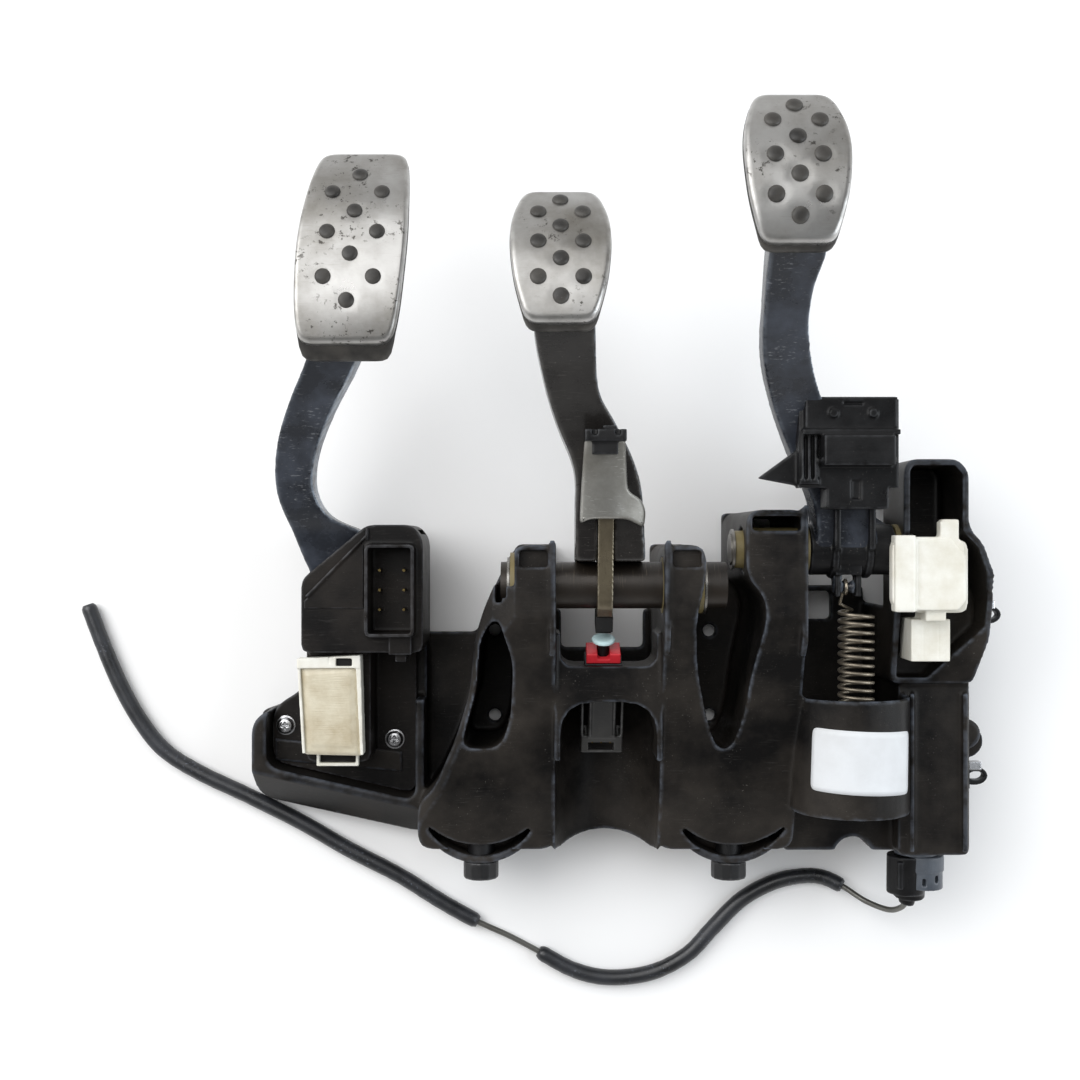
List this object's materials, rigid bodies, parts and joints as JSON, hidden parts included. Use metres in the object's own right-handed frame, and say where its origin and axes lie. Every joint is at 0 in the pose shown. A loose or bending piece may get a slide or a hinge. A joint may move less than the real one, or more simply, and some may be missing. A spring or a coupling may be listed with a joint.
{
  "type": "pedal box",
  "caption": "Car pedal box with accelerator, brake and clutch pedals on one black moulded bracket, with switches, springs, a master cylinder and its cut pipe.",
  "frame": {"origin": "centre of the four firewall stud holes, on the bracket's back face", "axes": "+X across the car from the accelerator to the clutch side, +Y from the column lugs to the pads, +Z from the back face towards the driver"},
  "size_m": [0.6332, 0.5663, 0.2445],
  "materials": {
    "bracket_plastic": "moulded glass-filled black, dusty",
    "black_steel": "black coated",
    "black_plastic": "satin",
    "bright_steel": "bright zinc",
    "label_white": "plain paper-like film",
    "bush_plastic": "natural nylon",
    "tube_steel": "oiled dark steel",
    "lever_steel": "yellowed zinc",
    "bare_steel": "bare steel",
    "spring_steel": "oiled spring wire",
    "black_rubber": "matte",
    "brake_arm_plastic": "glossy, worn edges",
    "clip_zinc": "dull zinc",
    "pad_rubber": "matte, dusty",
    "pad_steel": "brushed, dirty",
    "switch_plastic": "satin dark grey",
    "red_plastic": "satin red",
    "contact_brass": "bright",
    "plunger_plastic": "pale blue",
    "arm_plastic": "scuffed blue-grey",
    "white_plastic": "satin white",
    "piston_alloy": "anodised",
    "cylinder_plastic": "dark grey",
    "pipe_steel": "coated grey steel",
    "sleeve_rubber": "scuffed",
    "housing_plastic": "satin black",
    "cream_plastic": "cream, semi-gloss",
    "board_laminate": "solder mask green"
  },
  "bodies": {
    "frame": {"bracket": "bracket_plastic", "column_nuts": "black_steel", "side_clips": "black_plastic", "side_clip_pins": "bright_steel", "label": "label_white", "brake_bushes": "bush_plastic", "brake_switch_body": "switch_plastic", "brake_switch_lock": "red_plastic", "brake_switch_pins": "contact_brass", "clutch_bushes": "bush_plastic", "clutch_spring": "spring_steel", "clutch_switch_body": "white_plastic", "clutch_switch_plug": "white_plastic", "master_cylinder": "cylinder_plastic", "outlet_fitting": "cylinder_plastic", "clutch_pipe": "pipe_steel", "pipe_sleeve_short": "sleeve_rubber", "pipe_sleeve_long": "sleeve_rubber", "accel_housing": "housing_plastic", "accel_screws": "bright_steel", "accel_stop_cap": "cream_plastic", "accel_connector_pins": "contact_brass", "accel_sensor_board": "board_laminate", "accel_pivot_pin": "bare_steel", "accel_springs": "spring_steel"},
    "brake_pedal": {"brake_tube": "tube_steel", "brake_circlips": "bare_steel", "brake_lever": "lever_steel", "brake_bumper": "black_rubber", "brake_arm": "brake_arm_plastic", "pushrod_clip": "clip_zinc", "brake_pad_rubber": "pad_rubber", "brake_pad_cover": "pad_steel"},
    "switch_plunger": {"brake_switch_plunger": "plunger_plastic"},
    "clutch_pedal": {"clutch_shaft": "bare_steel", "clutch_circlips": "bare_steel", "clutch_arm": "arm_plastic", "clutch_lever_pin": "bare_steel", "clutch_pad_rubber": "pad_rubber", "clutch_pad_cover": "pad_steel", "clutch_sensor_case": "black_plastic", "clutch_sensor_cap": "black_plastic"},
    "clutch_rod": {"clutch_pushrod": "bare_steel", "clutch_piston": "piston_alloy", "piston_seal": "black_rubber"},
    "accel_pedal": {"accel_arm": "arm_plastic", "accel_rotor": "housing_plastic", "accel_pad_rubber": "pad_rubber", "accel_pad_cover": "pad_steel"}
  },
  "joints": [
    {"name": "brake_press", "type": "hinge", "parent": "frame", "child": "brake_pedal", "pos_m": [0, 0.065, 0.1], "axis": [-1, 0, 0], "range_deg": [0, 28], "stiffness_Nm_per_rad": 8, "springref_deg": -28.65},
    {"name": "plunger_slide", "type": "slide", "parent": "frame", "child": "switch_plunger", "axis": [0, 0.9063, 0.4226], "range_m": [0, 0.0028]},
    {"name": "clutch_press", "type": "hinge", "parent": "frame", "child": "clutch_pedal", "pos_m": [0, 0.088, 0.1], "axis": [-1, 0, 0], "range_deg": [0, 33], "stiffness_Nm_per_rad": 8, "springref_deg": -28.65, "deforming": ["clutch_spring"]},
    {"name": "rod_slide", "type": "slide", "parent": "frame", "child": "clutch_rod", "axis": [0, -1, 0], "range_m": [0, 0.0286]},
    {"name": "accel_press", "type": "hinge", "parent": "frame", "child": "accel_pedal", "pos_m": [0, 0.066, 0.054], "axis": [-1, 0, 0], "range_deg": [0, 18], "stiffness_Nm_per_rad": 5, "springref_deg": -28.65, "deforming": ["accel_springs"]}
  ],
  "couplings": [
    {"joint": "plunger_slide", "follows": "brake_press", "m_per_rad": 0.0057},
    {"joint": "rod_slide", "follows": "clutch_press", "m_per_rad": 0.0493}
  ]
}
